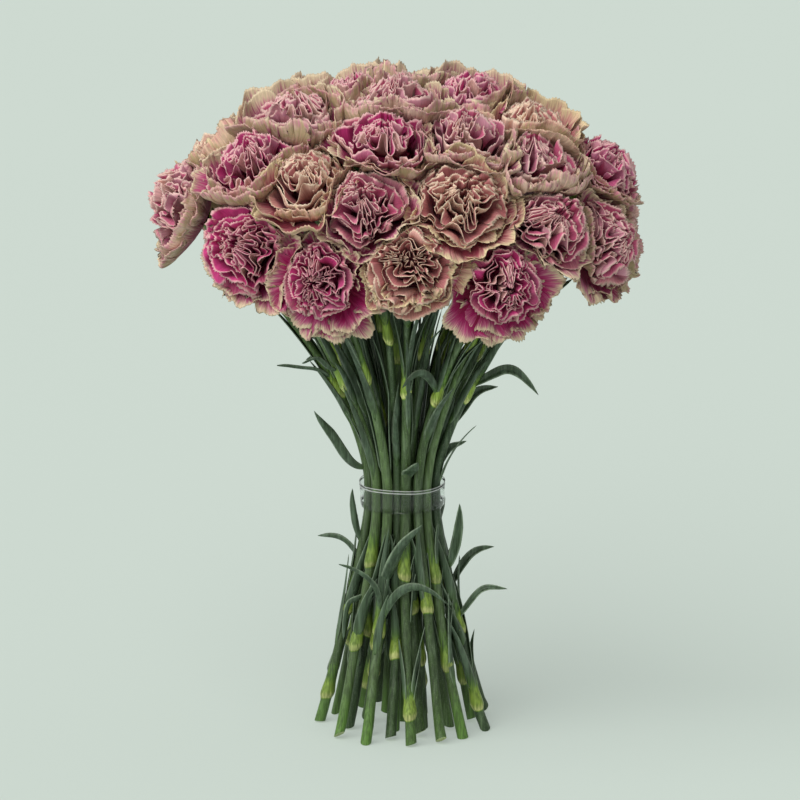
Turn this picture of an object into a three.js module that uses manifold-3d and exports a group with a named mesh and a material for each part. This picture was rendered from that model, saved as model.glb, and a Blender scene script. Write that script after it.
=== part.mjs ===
// A bunch of carnations, tied round its waist and standing on its cut stem ends.
// Millimetres, +Z up. The viewer stands at -Y, with +X to the right. The origin is on the ground,
// under the middle of the bunch.
import * as THREE from "three";
import Module from "manifold-3d";

const wasm = await Module();
wasm.setup();

const DEG = Math.PI / 180;

// The dome of flowers: half its width, half its depth to the front and to the back, its rise above
// its rim, and the rim's height. It runs through the middles of the blooms.
const DOME = { width: 150, front: 108, back: 88, rise: 113, rim: 325 };

// The flowers, first those seen from the front, from the lower left round and inwards, then the six
// behind them: azimuth from the viewer (to the right), angle from upright, how far the flower stands
// proud of the dome, radius of its bloom, and its tone.
const FLOWERS = [
  [-88, 70, 8, 37, "rose"],
  [-45, 75, 0, 37, "magenta"],
  [-21, 82, 0, 36, "magenta"],
  [2, 77, 0, 37, "tan"],
  [27, 84, 0, 37, "magenta"],
  [44, 67, 0, 37, "rose"],
  [68, 77, 0, 37, "rose"],
  [88, 58, 7, 38, "magenta"],
  [53, 48, 0, 37, "rose"],
  [80, 36, 0, 38, "tan"],
  [112, 19, 0, 38, "magenta"],
  [-8, 9, 0, 38, "rose"],
  [174, 29, 9, 39, "rose"],
  [-130, 18, 0, 37, "magenta"],
  [-80, 30, 0, 38, "rose"],
  [-126, 41, 3, 38, "rose"],
  [-58, 48, 0, 38, "magenta"],
  [-112, 56, 2, 39, "tan"],
  [-32, 52, 0, 37, "tan"],
  [-6, 33, 0, 38, "magenta"],
  [-10, 58, 0, 37, "rose"],
  [17, 56, 0, 38, "tan"],
  [32, 34, 0, 38, "rose"],
  [114, 79, 0, 40, "rose"],
  [150, 77, 0, 41, "magenta"],
  [184, 80, 0, 41, "tan"],
  [220, 78, 0, 41, "rose"],
  [140, 51, 0, 41, "rose"],
  [203, 53, 0, 41, "magenta"],
];

// A bloom, from its root to its heart, as shares of its radius. Each ring of petal edges stands
// between two valleys. "lobe" is how deep the gaps between petals cut in, "ruffle" how far the edge
// waves up and down, and "turn" how many samples the ring's petals are turned by.
const PETAL_SAMPLES = 4;
const PETALS = 5;
const SAMPLES = PETALS * PETAL_SAMPLES;
const BLOOM_RINGS = [
  { out: 0.56, up: 0.12, lobe: 0.08, ruffle: 0.02, turn: 0 },
  { out: 1.0, up: 0.35, lobe: 0.16, ruffle: 0.08, turn: 0 },
  { out: 0.57, up: 0.36, lobe: 0.05, ruffle: 0.02, turn: 0 },
  { out: 0.76, up: 0.64, lobe: 0.16, ruffle: 0.08, turn: 2 },
  { out: 0.39, up: 0.56, lobe: 0.06, ruffle: 0.02, turn: 2 },
  { out: 0.5, up: 0.86, lobe: 0.2, ruffle: 0.07, turn: 0 },
  { out: 0.21, up: 0.7, lobe: 0.08, ruffle: 0.02, turn: 3 },
  { out: 0.26, up: 1.0, lobe: 0.32, ruffle: 0.06, turn: 3 },
];
const HEART = 0.84;
// Over the four samples of a petal: the gap beside it, its near half, the nick in its edge, its far half.
const LOBE_SHAPE = [1, 0, 0.3, 0.05];
const RUFFLE_SHAPE = [-0.8, 1, -0.9, 0.8];
const UNEVEN = 0.05;
const BLOOM_MIDDLE = 0.5;

// Crowding: where a bloom's widest edge would reach past this share of the room in its direction, the
// petals there are pressed back, the outer ones most, and what is pressed back stands up instead.
const FREE_SHARE = 0.84;
const STAND_UP = 0.4;
const WIDEST = 1.06;
const BLOOM_GAP = 0.5;
const LEAST_ROOM = 4;
const LEAST_SLOPE = 1e-6;

// The calyx, a green tube below the petals: its length, its radii at foot, collar, belly and mouth,
// and how much it turns up from the way that the bloom faces.
const CALYX = { length: 26, foot: 2.7, collar: 4.6, belly: 6.3, mouth: 6 };
const CALYX_COLLAR_AT = 0.12;
const CALYX_BELLY_AT = 0.6;
const CALYX_UPTURN = 0.75;
const PETAL_ROOT = 6.6;
const SEAT_GAP = 0.3;

// The stems: side by side through the tie, and spread to a ring of feet below it.
const STEM = { sides: 6, foot: 4.1, low: 3.5, tie: 3.7, top: 2.8, pitch: 7.52 };
const TIE = { bottom: 157, top: 173, wall: 0.8, segments: 36, flare: 0.6 };
const WAIST = { bottom: 155, top: 175, width: 24.6, depth: 21.6 };
const FEET_SPREAD = 2.5;
const FEET_CURVE = 1.25;
// Above the tie a stem sets off with this share of its length and of its lean in the tie, and comes
// into its calyx along a straight neck. Its slender top has rings at these shares of its length.
const SET_OFF = 0.35;
const NECK = 32;
const TOP_RINGS = [0.72, 0.88];
const NODE = { radius: 5.5, below: 2, above: 24, belly: 2 };
const RIM_ANGLE = 76;
const PACKING_ROUNDS = 60;
const LOW_NODE = { from: 18, span: 80 };
const HIGH_NODE = { from: 36, span: 62 };
const MIDDLE_NODE = { from: 102, span: 14 };
const OUTER_STEM_ANGLE = 60;
const LIFTED_FOOT = 3;

// What a flower's fixed numbers are for.
const SEED = { roll: 1, lowNode: 2, highNode: 3, middleNode: 4, foot: 5 };

// Nodes that show plainly on the outer stems, by flower, as measures along its stem.
const SEEN_NODES = {
  1: [18, 80, 230],
  2: [62, 118, 240],
  3: [72, 246],
  4: [19, 112, 236],
  5: [88, 230],
  6: [48, 108, 266],
  7: [16, 68, 230],
  8: [30, 98, 254],
  18: [52, 250],
};

// The leaves: flower, how far up its stem the leaf starts, the point that it bends towards and its
// tip, both from where it starts, its width, and how far its blade turns from lying flat, in degrees.
const LEAVES = [
  [1, 182, [-20, -4, 12], [-36, -6, 42], 7.5, 55],
  [1, 240, [-14, -7, 16], [-38, -10, 14], 5.5, 40],
  [18, 250, [-10, 2, 16], [-26, 0, 18], 5, 40],
  [7, 238, [22, -8, 30], [46, -12, -2], 7.5, 50],
  [8, 180, [6, -2, 14], [24, -4, 22], 6, 60],
  [7, 250, [2, -4, 12], [13, -6, 24], 5, 60],
  [5, 236, [-8, -20, 34], [-24, -18, 10], 6.5, 80],
  [4, 180, [3, -5, 8], [8, -9, 15], 11, 85],
  [7, 112, [10, -4, 22], [9, -8, 50], 7.5, 65],
  [7, 78, [8, -4, 26], [34, -8, 24], 5.5, 35],
  [3, 84, [2, -8, 36], [-28, -12, 42], 5, 50],
  [3, 106, [4, -8, 24], [27, -8, 46], 10, 80],
  [3, 78, [16, -12, 52], [46, -12, 20], 6.5, 75],
  [1, 128, [-8, -2, 20], [-7, -2, 40], 5, 60],
  [2, 98, [-14, -6, 8], [-15, -8, -30], 5.5, 60],
  [3, 256, [-4, -14, 14], [-14, -18, 30], 6, 60],
  [2, 252, [-10, -10, 14], [-24, -12, 8], 5, 50],
  [6, 276, [8, -10, 10], [20, -14, 22], 5.5, 60],
  [24, 204, [14, 8, 26], [36, 18, 26], 7, 45],
  [25, 240, [8, 16, 26], [18, 38, 4], 7, 40],
  [26, 184, [-4, 12, 18], [-10, 40, 34], 7.5, 50],
  [27, 230, [-12, 10, 26], [-34, 22, 12], 6.5, 45],
  [24, 92, [8, 4, 28], [30, 12, 26], 6, 40],
  [25, 104, [6, 8, 24], [12, 12, 46], 7.5, 70],
  [26, 84, [8, 12, 38], [24, 18, 26], 6, 60],
  [27, 98, [-8, 6, 30], [-34, 14, 24], 6, 45],
  [26, 256, [4, 14, 16], [8, 24, 28], 6, 60],
];
const LEAF_STATIONS = [
  [0, 0.45],
  [0.16, 0.78],
  [0.42, 1],
  [0.68, 0.85],
  [0.88, 0.48],
];
const LEAF_KEEL = 1.3;
const LEAF_TWIST = 25;

const COLOURS = {
  magenta: { color: 0xb0447a, roughness: 0.75 },
  rose: { color: 0xc07a8e, roughness: 0.78 },
  tan: { color: 0xbf9484, roughness: 0.8 },
  stem: { color: 0x4f6b45, roughness: 0.6 },
  tie: { color: 0xdfe6e2, roughness: 0.15 },
};

function material(name) {
  return new THREE.MeshStandardMaterial({ ...COLOURS[name], metalness: 0 });
}

// A fixed number from 0 to 1 for a pair of whole numbers, the same on every run.
function chance(a, b) {
  const wave = Math.sin(a * 127.1 + b * 311.7) * 43758.5453;
  return wave - Math.floor(wave);
}

function vector(x, y, z) {
  return new THREE.Vector3(x, y, z);
}

// Where a flower stands and which way it faces.
function placed([azimuth, tilt, proud, radius, tone], index) {
  const across = Math.sin(tilt * DEG) * Math.sin(azimuth * DEG);
  const deep = -Math.sin(tilt * DEG) * Math.cos(azimuth * DEG);
  const depth = deep < 0 ? DOME.front : DOME.back;
  const high = Math.cos(tilt * DEG);
  const axis = vector(across / DOME.width, deep / depth, high / DOME.rise).normalize();
  const middle = vector(across * DOME.width, deep * depth, DOME.rim + high * DOME.rise);
  middle.addScaledVector(axis, proud);
  const mouth = middle.clone().addScaledVector(axis, -BLOOM_MIDDLE * radius);
  const calyxAxis = axis.clone().add(vector(0, 0, CALYX_UPTURN)).normalize();
  const side = vector(0, 0, 1).cross(axis).normalize();
  const crown = axis.clone().cross(side);
  return { index, azimuth, tilt, radius, tone, axis, middle, mouth, calyxAxis, side, crown };
}

const flowers = FLOWERS.map(placed);

// The walls between a bloom and its neighbours, each a plane that it stays behind.
function walls(flower) {
  return flowers
    .filter((other) => other !== flower)
    .map((other) => {
      const normal = other.middle.clone().sub(flower.middle);
      const apart = normal.length();
      normal.divideScalar(apart);
      const share = 0.5 + (flower.radius ** 2 - other.radius ** 2) / (2 * apart ** 2);
      const reach = normal.dot(flower.middle) + share * apart - BLOOM_GAP / 2;
      return { normal, reach };
    });
}

// How far it is from a bloom's axis, at a height above its mouth, to the nearest wall.
function room(flower, cell, away, height) {
  const start = flower.mouth.clone().addScaledVector(flower.axis, height);
  let least = Infinity;
  for (const { normal, reach } of cell) {
    const slope = normal.dot(away);
    if (slope > LEAST_SLOPE) least = Math.min(least, (reach - normal.dot(start)) / slope);
  }
  return Math.max(least, LEAST_ROOM);
}

// How far out a point lies once its bloom's widest edge is pressed back to the wall.
function pressed(flower, cell, away, out, height) {
  const limit = room(flower, cell, away, height);
  const free = FREE_SHARE * limit;
  const widest = WIDEST * flower.radius;
  if (widest <= free) return out;
  const edge = free + (limit - free) * Math.tanh((widest - free) / (limit - free));
  return out * (1 - (1 - edge / widest) * Math.sqrt(out / widest));
}

// A point of a bloom after its neighbours have pressed on it.
function crowded(flower, cell, angle, out, up) {
  const away = flower.side.clone().multiplyScalar(Math.cos(angle));
  away.addScaledVector(flower.crown, Math.sin(angle));
  const height = up + STAND_UP * (out - pressed(flower, cell, away, out, up));
  const near = pressed(flower, cell, away, out, height);
  return flower.mouth.clone().addScaledVector(flower.axis, height).addScaledVector(away, near);
}

// A closed surface through rings of points, from a first pole to a last one, facing out.
function loft(first, rings, last) {
  const points = [first, ...rings.flat(), last];
  const around = rings[0].length;
  const faces = [];
  for (let k = 0; k < around; k++) {
    const next = (k + 1) % around;
    faces.push(0, 1 + next, 1 + k);
    rings.slice(1).forEach((_, r) => {
      const a = 1 + r * around + k;
      const b = 1 + r * around + next;
      faces.push(a, b, b + around, a, b + around, a + around);
    });
    const end = 1 + (rings.length - 1) * around;
    faces.push(end + k, end + next, points.length - 1);
  }
  return { points, faces };
}

function geometryOf({ points, faces }) {
  const geometry = new THREE.BufferGeometry();
  geometry.setAttribute(
    "position",
    new THREE.Float32BufferAttribute(points.flatMap((p) => [p.x, p.y, p.z]), 3),
  );
  geometry.setIndex(faces);
  return geometry;
}

// Petals in four frilled layers round a tufted heart.
function bloomShape(flower) {
  const cell = walls(flower);
  const roll = chance(flower.index, SEED.roll) * 2 * Math.PI;
  const angleAt = (k) => roll + (k / SAMPLES) * 2 * Math.PI;
  const root = flower.mouth.clone().addScaledVector(flower.calyxAxis, SEAT_GAP);
  const rootUp = flower.calyxAxis.clone().cross(flower.side).normalize();
  const rootRing = [];
  for (let k = 0; k < SAMPLES; k++) {
    const p = root.clone().addScaledVector(flower.side, PETAL_ROOT * Math.cos(angleAt(k)));
    rootRing.push(p.addScaledVector(rootUp, PETAL_ROOT * Math.sin(angleAt(k))));
  }
  const rings = BLOOM_RINGS.map((ring, layer) => {
    const points = [];
    for (let k = 0; k < SAMPLES; k++) {
      const part = (k + ring.turn) % PETAL_SAMPLES;
      const uneven = 1 + UNEVEN * (2 * chance(flower.index * SAMPLES + layer, k) - 1);
      const out = ring.out * (1 - ring.lobe * LOBE_SHAPE[part]) * uneven;
      const up = ring.up + ring.ruffle * RUFFLE_SHAPE[part] * uneven;
      points.push(crowded(flower, cell, angleAt(k), out * flower.radius, up * flower.radius));
    }
    return points;
  });
  const heart = flower.mouth.clone().addScaledVector(flower.axis, HEART * flower.radius);
  return loft(root, [rootRing, ...rings], heart);
}

// The stems' places in the tie: in the flowers' order round the bunch, pushed apart until they lie
// side by side inside an oval.
function packedStems() {
  const places = flowers.map(({ azimuth, tilt }) => {
    const out = Math.min(tilt / RIM_ANGLE, 1);
    const x = WAIST.width * out * Math.sin(azimuth * DEG);
    return new THREE.Vector2(x, -WAIST.depth * out * Math.cos(azimuth * DEG));
  });
  for (let round = 0; round < PACKING_ROUNDS; round++) {
    for (let i = 0; i < places.length; i++) {
      for (let j = i + 1; j < places.length; j++) {
        const gap = places[j].clone().sub(places[i]);
        const short = STEM.pitch - gap.length();
        if (short <= 0) continue;
        gap.setLength(short / 2);
        places[i].sub(gap);
        places[j].add(gap);
      }
    }
    for (const place of places) {
      const out = Math.hypot(place.x / WAIST.width, place.y / WAIST.depth);
      if (out > 1) place.divideScalar(out);
    }
  }
  return places;
}

const waist = packedStems();

// A stem's line, by a measure that is its height up to the waist and runs on to the calyx.
function stemLine(flower) {
  const place = waist[flower.index];
  const foot = flower.calyxAxis.clone().multiplyScalar(-CALYX.length).add(flower.mouth);
  const start = vector(place.x, place.y, WAIST.top);
  const neck = foot.clone().addScaledVector(flower.calyxAxis, -NECK);
  const length = foot.distanceTo(start);
  const rise = vector(place.x, place.y, length).multiplyScalar(SET_OFF).add(start);
  const curve = new THREE.CubicBezierCurve3(start, rise, neck, foot);
  const point = (s) => {
    if (s > WAIST.top) return curve.getPoint(Math.min((s - WAIST.top) / length, 1));
    const drop = Math.max(0, 1 - s / WAIST.bottom);
    const spread = 1 + (FEET_SPREAD - 1) * drop ** FEET_CURVE;
    return vector(place.x * spread, place.y * spread, s);
  };
  const out = vector(Math.sin(flower.azimuth * DEG), -Math.cos(flower.azimuth * DEG), 0);
  const side = vector(0, 0, 1).cross(out);
  return { point, length, side, foot };
}

function stemRing(centre, along, side, radius) {
  const across = along.clone().cross(side).normalize();
  const flat = across.clone().cross(along).normalize();
  return Array.from({ length: STEM.sides }, (_, k) => {
    const turn = ((k + 0.5) / STEM.sides) * 2 * Math.PI;
    const p = centre.clone().addScaledVector(flat, radius * Math.cos(turn));
    return p.addScaledVector(across, radius * Math.sin(turn));
  });
}

// Where a stem's swollen nodes are, by its line's measure.
function nodesOf(flower) {
  const seen = SEEN_NODES[flower.index + 1];
  if (seen) return seen;
  const low = LOW_NODE.from + LOW_NODE.span * chance(flower.index, SEED.lowNode);
  const high = WAIST.top + HIGH_NODE.from + HIGH_NODE.span * chance(flower.index, SEED.highNode);
  const outer = flower.tilt >= OUTER_STEM_ANGLE && low < MIDDLE_NODE.from - 2 * NODE.above;
  const middle = MIDDLE_NODE.from + MIDDLE_NODE.span * chance(flower.index, SEED.middleNode);
  return outer ? [low, middle, high] : [low, high];
}

// A stem with its nodes and its calyx.
function stemShape(flower) {
  const line = stemLine(flower);
  const inner = flower.tilt < OUTER_STEM_ANGLE;
  const lift = inner ? LIFTED_FOOT * chance(flower.index, SEED.foot) : 0;
  const stations = [[WAIST.bottom, STEM.tie], [WAIST.top, STEM.tie]];
  for (const s of nodesOf(flower)) {
    stations.push([s - NODE.below, STEM.low]);
    stations.push([s + NODE.belly, NODE.radius]);
    stations.push([s + NODE.above, STEM.low]);
  }
  for (const share of TOP_RINGS) stations.push([WAIST.top + line.length * share, STEM.top]);
  stations.sort((a, b) => a[0] - b[0]);
  const up = vector(0, 0, 1);
  const rings = [stemRing(line.point(lift), up, line.side, STEM.foot)];
  for (const [s, radius] of stations) {
    const along = line.point(s + 1).sub(line.point(s - 1)).normalize();
    rings.push(stemRing(line.point(s), along, line.side, radius));
  }
  const calyxRing = (share, radius) => {
    const centre = line.foot.clone().addScaledVector(flower.calyxAxis, CALYX.length * share);
    return stemRing(centre, flower.calyxAxis, line.side, radius);
  };
  rings.push(calyxRing(0, CALYX.foot));
  rings.push(calyxRing(CALYX_COLLAR_AT, CALYX.collar));
  rings.push(calyxRing(CALYX_BELLY_AT, CALYX.belly));
  rings.push(calyxRing(1, CALYX.mouth));
  return loft(line.point(lift), rings, flower.mouth.clone());
}

function solidOf({ points, faces }) {
  const vertProperties = new Float32Array(points.flatMap((p) => [p.x, p.y, p.z]));
  return new wasm.Manifold(
    new wasm.Mesh({ numProp: 3, vertProperties, triVerts: new Uint32Array(faces) }),
  );
}

function shapeOf(solid) {
  const { numProp, vertProperties, triVerts } = solid.getMesh();
  const points = [];
  for (let i = 0; i < vertProperties.length; i += numProp) {
    points.push(vector(vertProperties[i], vertProperties[i + 1], vertProperties[i + 2]));
  }
  return { points, faces: [...triVerts] };
}

// A leaf: a pointed blade with a keel below it, bent along a curve from its stem to its tip.
function leafShape(line, [, start, bend, tip, width, twist]) {
  const root = line.point(start);
  const curve = new THREE.QuadraticBezierCurve3(
    root,
    root.clone().add(vector(...bend)),
    root.clone().add(vector(...tip)),
  );
  const level = vector(...bend).cross(vector(...tip)).normalize();
  const outward = vector(root.x, root.y, 0);
  const turned = (along, share) => {
    const angle = (twist + LEAF_TWIST * share) * DEG;
    const side = level.clone().multiplyScalar(Math.cos(angle));
    return side.addScaledVector(along.clone().cross(level), Math.sin(angle)).normalize();
  };
  const first = curve.getTangent(0);
  const flip = first.clone().cross(turned(first, 0)).dot(outward) < 0 ? -1 : 1;
  const rings = LEAF_STATIONS.map(([share, wide]) => {
    const along = curve.getTangent(share);
    const side = turned(along, share).multiplyScalar(flip);
    const keel = along.clone().cross(side).multiplyScalar(LEAF_KEEL);
    const centre = curve.getPoint(share);
    const reach = (width / 2) * wide;
    return [
      centre.clone().addScaledVector(side, reach),
      centre.clone().add(keel),
      centre.clone().addScaledVector(side, -reach),
    ];
  });
  return loft(root, rings, curve.getPoint(1));
}

function leafyStem(flower) {
  const line = stemLine(flower);
  let solid = solidOf(stemShape(flower));
  for (const leaf of LEAVES.filter(([number]) => number === flower.index + 1)) {
    solid = solid.add(solidOf(leafShape(line, leaf)));
  }
  return shapeOf(solid);
}

// The tie: a thin band of clear tape round the stems, a little wider at its upper edge.
function tieShape() {
  const snug = 1 / Math.cos(Math.PI / TIE.segments);
  const clear = (STEM.tie + SEAT_GAP) * snug;
  const corner = (turn, wall, z) => {
    const extra = clear + wall + (z === TIE.top ? TIE.flare : 0);
    const x = (WAIST.width * snug + extra) * Math.cos(turn);
    return vector(x, (WAIST.depth * snug + extra) * Math.sin(turn), z);
  };
  const points = [];
  const faces = [];
  for (let k = 0; k < TIE.segments; k++) {
    const turn = (k / TIE.segments) * 2 * Math.PI;
    points.push(corner(turn, 0, TIE.bottom));
    points.push(corner(turn, TIE.wall, TIE.bottom));
    points.push(corner(turn, TIE.wall, TIE.top));
    points.push(corner(turn, 0, TIE.top));
    for (let side = 0; side < 4; side++) {
      const a = 4 * k + side;
      const b = 4 * k + ((side + 1) % 4);
      const c = (b + 4) % (4 * TIE.segments);
      const d = (a + 4) % (4 * TIE.segments);
      faces.push(a, c, b, a, d, c);
    }
  }
  return { points, faces };
}

function named(name, shape, colour) {
  const mesh = new THREE.Mesh(geometryOf(shape), material(colour));
  mesh.name = name;
  return mesh;
}

const bunch = new THREE.Group();
for (const flower of flowers) {
  const number = String(flower.index + 1).padStart(2, "0");
  bunch.add(named("bloom_" + number, bloomShape(flower), flower.tone));
  bunch.add(named("stem_" + number, leafyStem(flower), "stem"));
}
bunch.add(named("tie", tieShape(), "tie"));

// The bunch is moved so that its middle stands over the origin.
const middle = new THREE.Box3().setFromObject(bunch, true).getCenter(vector(0, 0, 0));
bunch.position.set(-middle.x, -middle.y, 0);

export default bunch;
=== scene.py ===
# A bunch of carnations, tied round its waist and standing on its cut stem ends.
# Lengths are in millimetres until a mesh is made. +Z is up and the viewer stands at -Y.
import math
from types import SimpleNamespace
import bpy
import numpy as np
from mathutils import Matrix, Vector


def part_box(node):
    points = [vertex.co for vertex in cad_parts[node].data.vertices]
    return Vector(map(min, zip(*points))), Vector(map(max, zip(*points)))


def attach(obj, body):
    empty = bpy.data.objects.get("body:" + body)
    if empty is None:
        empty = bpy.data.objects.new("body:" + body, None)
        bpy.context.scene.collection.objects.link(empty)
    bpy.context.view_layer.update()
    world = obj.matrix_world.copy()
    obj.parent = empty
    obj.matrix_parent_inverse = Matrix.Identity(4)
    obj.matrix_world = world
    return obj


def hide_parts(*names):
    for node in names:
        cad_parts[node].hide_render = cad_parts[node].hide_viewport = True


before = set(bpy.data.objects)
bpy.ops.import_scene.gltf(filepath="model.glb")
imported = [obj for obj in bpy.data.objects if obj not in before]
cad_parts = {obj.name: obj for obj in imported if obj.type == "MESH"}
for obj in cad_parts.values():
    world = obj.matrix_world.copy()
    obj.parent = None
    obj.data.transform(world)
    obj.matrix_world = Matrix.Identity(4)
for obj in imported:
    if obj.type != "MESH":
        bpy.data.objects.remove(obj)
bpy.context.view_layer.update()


MM = 0.001
DEG = math.pi / 180
TURN = 2 * math.pi
UP = np.array([0.0, 0.0, 1.0])

# The dome of flowers: half its width, half its depth to the front and to the back, its rise above
# its rim, and the rim's height.
DOME = {"width": 150, "front": 108, "back": 88, "rise": 113, "rim": 325}

# The flowers, numbered from 1: azimuth from the viewer, angle from upright, how far the flower stands
# proud of the dome, its bloom's radius, its tone, how many degrees its petals look up from there, how
# far its guards stand up as a cup, from 0 to 1, and how wide its head of inner petals is, as a share
# of their rings. The last six stand at the back.
FACTS = ("azimuth", "tilt", "proud", "radius", "tone", "looks", "cup", "head")
FLOWERS = [
    (-88, 70, 8, 37, "rose", 0, 0.7, 1.15),
    (-45, 75, 0, 37, "magenta", 4, 0.15, 1.28),
    (-21, 82, 0, 36, "magenta", 0, 0.0, 1.02),
    (2, 77, 0, 37, "tan", 2, 0.0, 1.3),
    (27, 84, 0, 37, "magenta", 0, 0.05, 1.0),
    (44, 67, 0, 37, "rose", 16, 0.2, 1.25),
    (68, 77, 0, 37, "rose", 8, 0.3, 1.15),
    (88, 58, 7, 38, "magenta", 12, 0.75, 1.15),
    (53, 48, 0, 37, "rose", 30, 1.0, 1.25),
    (80, 36, 0, 38, "tan", 18, 0.8, 1.2),
    (112, 19, 0, 38, "magenta", 14, 0.9, 1.15),
    (-8, 9, 0, 38, "rose", 10, 0.9, 1.2),
    (174, 29, 9, 39, "rose", 10, 1.0, 1.1),
    (-130, 18, 0, 37, "magenta", 8, 0.7, 1.15),
    (-80, 30, 0, 38, "rose", 14, 1.0, 1.15),
    (-126, 41, 3, 38, "rose", 12, 1.0, 1.15),
    (-58, 48, 0, 38, "magenta", 20, 0.65, 1.25),
    (-112, 56, 2, 39, "tan", 12, 0.8, 1.15),
    (-32, 52, 0, 37, "tan", 26, 1.0, 1.3),
    (-6, 33, 0, 38, "magenta", 18, 0.45, 1.25),
    (-10, 58, 0, 37, "rose", 14, 0.3, 1.3),
    (17, 56, 0, 38, "tan", 14, 0.45, 1.36),
    (32, 34, 0, 38, "rose", 24, 0.75, 1.28),
    (114, 79, 0, 40, "rose", 4, 0.3, 1.1),
    (150, 77, 0, 41, "magenta", 4, 0.2, 1.15),
    (184, 80, 0, 41, "tan", 4, 0.4, 1.05),
    (220, 78, 0, 41, "rose", 4, 0.3, 1.2),
    (140, 51, 0, 41, "rose", 12, 0.7, 1.15),
    (203, 53, 0, 41, "magenta", 12, 0.8, 1.2),
]

# How far a bloom's middle lies above its mouth, as a share of its radius, and the share of the move
# that would keep the middle of petals that look up in its place.
BLOOM_MIDDLE = 0.5
ROOT_SHARE = 0.5

# Crowding: a bloom's petals are pressed back behind the planes between it and its neighbours, the
# outer ones most, and what is pressed back stands up instead.
FREE_SHARE = 0.84
WIDEST = 1.06
BLOOM_GAP = 0.5
LEAST_ROOM = 4
LEAST_SLOPE = 1e-6

# The calyx: its length, how much it turns up from the way that the bloom faces, its radius by its
# height as a share of its length, and the depth of its teeth.
CALYX_LENGTH = 26
CALYX_UPTURN = 0.75
CALYX_HEIGHTS = (-0.1, 0, 0.06, 0.14, 0.3, 0.5, 0.7, 0.88, 1, 1.12)
CALYX_RADII = (2.5, 2.8, 3.9, 4.6, 5.3, 5.9, 6.2, 6.1, 6.3, 6.9)
CALYX_TEETH = 5
CALYX_TOOTH = 0.22
CALYX_SIDES = 20
CALYX_RIM = {"inward": 0.12, "down": 7}
SCALES = 4
SCALE_GRID = (6, 5)
SCALE_THICK = 0.25

# The stems: their places in the tie, their spread below it, and their course above it.
STEM_PITCH = 7.52
STEM_TIE = 3.7
WAIST = {"bottom": 155, "top": 175, "width": 24.6, "depth": 21.6}
FEET_SPREAD = 2.5
FEET_CURVE = 1.25
SET_OFF = 0.35
NECK = 32
RIM_ANGLE = 76
PACKING_ROUNDS = 60
OUTER_STEM_ANGLE = 60
LIFTED_FOOT = 3
SEAT_GAP = 0.3
TIE = {"bottom": 157, "top": 173, "flare": 0.6}

# A stem's tube: its radii, the height below which it has one ring, its cut end, and its ribs.
STEM_SIDES = 16
STEM_STEP = 4
STEM_WIDTHS = {"foot": 3.75, "low": 3.15, "tie": 3.4, "top": 2.5}
STEM_LOW = 40
UNCUT = 9
CUT_END = [(1, 0), (0.86, 0.15), (0.4, 0.4), (0.04, 0.6)]
STEM_RIB = 0.03

# The low, middle and high node: where it may lie along a stem, from and over how far, and the number
# that it is drawn by. How far the sheath reaches above a node, how much it swells, how its lip
# slants, and the rings of the tube near it.
NODES = [(18, 80, 2), (102, 14, 4), (211, 62, 3)]
NODE_ABOVE = 24
NODE_SWELL = 1.35
LIP_TILT = 1.3
LIP_REACH = 8
NODE_STEPS = (-4, -2.6, -1.6, -0.7, 0.2, 1.2, 2.4, 4, 6, 8.5, 12, 16, 20, 24, 29)
# How a sheath's pale green fades above its node: shares of it, and between which measures.
PALE_FADES = [(0.28, 0, 6), (0.47, 4, 18), (0.25, 14, 36)]

# How far a stem may step aside at a node, in full where the nearest straight place is this far, and
# how near to its ends or the tie it doesn't.
STEM_KINK = 1.8
KINK_FULL = 40
KINK_CLEAR = 10
TIE_CLEAR = 4

# The numbers by which a bloom's turn and its stem's foot are drawn.
SEED = {"roll": 1, "foot": 5}

# Nodes that show plainly on the outer stems, by flower, as measures along its stem.
SEEN_NODES = {
    1: [18, 80, 230],
    2: [62, 118, 240],
    3: [72, 246],
    4: [19, 112, 236],
    5: [88, 230],
    6: [48, 108, 266],
    7: [16, 68, 230],
    8: [30, 98, 254],
    18: [52, 250],
}

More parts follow.
